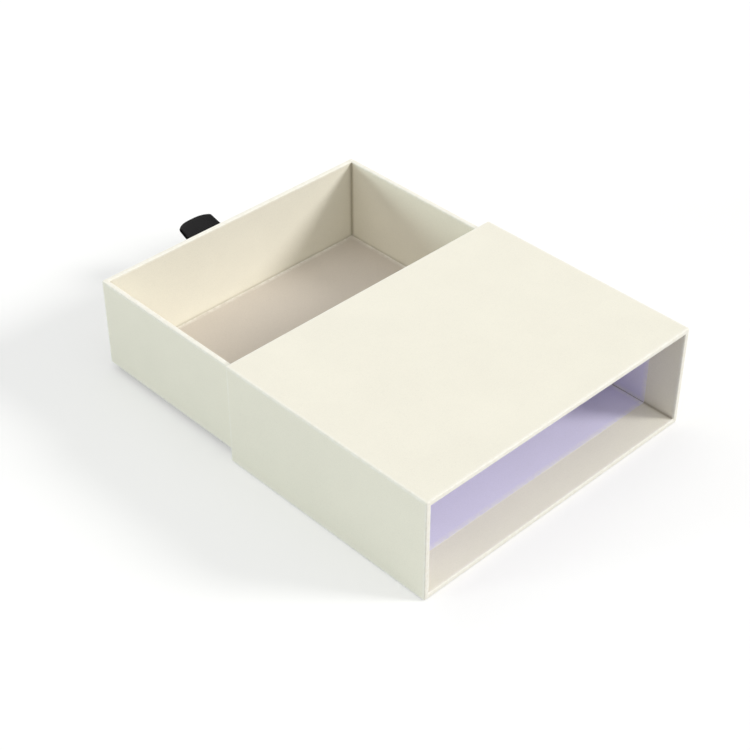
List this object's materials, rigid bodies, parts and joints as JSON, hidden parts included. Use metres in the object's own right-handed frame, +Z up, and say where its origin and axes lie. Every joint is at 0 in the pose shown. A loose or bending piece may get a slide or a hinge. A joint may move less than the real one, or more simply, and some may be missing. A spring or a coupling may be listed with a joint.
{
  "type": "sliding drawer gift box",
  "caption": "Rigid paper-covered gift box: a drawer with a ribbon pull slides out of an open-ended sleeve with a coloured lining.",
  "frame": {"origin": "middle of the sleeve's underside, where the box rests", "axes": "+X across the mouth, +Y through the sleeve away from the ribbon pull, +Z up; the drawer comes out towards -Y"},
  "size_m": [0.12, 0.1805, 0.039],
  "materials": {
    "cover_paper": "matt uncoated cream paper with a faint tooth",
    "lining_paper": "matt lavender paper",
    "floor_paper": "matt uncoated cream paper",
    "greyboard": "unbleached grey board",
    "stay_tape": "gummed kraft paper",
    "ribbon": "black woven ribbon with a soft sheen"
  },
  "bodies": {
    "sleeve": {"sleeve_base_board": "greyboard", "sleeve_top_board": "greyboard", "sleeve_left_board": "greyboard", "sleeve_right_board": "greyboard", "sleeve_stay_base_left": "stay_tape", "sleeve_stay_base_right": "stay_tape", "sleeve_stay_top_left": "stay_tape", "sleeve_stay_top_right": "stay_tape", "sleeve_cover_paper": "cover_paper", "sleeve_base_sheet": "cover_paper", "sleeve_lining_base": "lining_paper", "sleeve_lining_top": "lining_paper", "sleeve_lining_left": "lining_paper", "sleeve_lining_right": "lining_paper"},
    "drawer": {"drawer_base_board": "greyboard", "drawer_front_board": "greyboard", "drawer_back_board": "greyboard", "drawer_left_board": "greyboard", "drawer_right_board": "greyboard", "drawer_stay_front_left": "stay_tape", "drawer_stay_front_right": "stay_tape", "drawer_stay_back_left": "stay_tape", "drawer_stay_back_right": "stay_tape", "drawer_cover_paper": "cover_paper", "drawer_floor_liner": "floor_paper", "ribbon_pull": "ribbon", "ribbon_tape": "stay_tape"}
  },
  "joints": [
    {"name": "drawer_slide", "type": "slide", "parent": "sleeve", "child": "drawer", "axis": [0, -1, 0], "range_m": [-0.068, 0.024]}
  ]
}
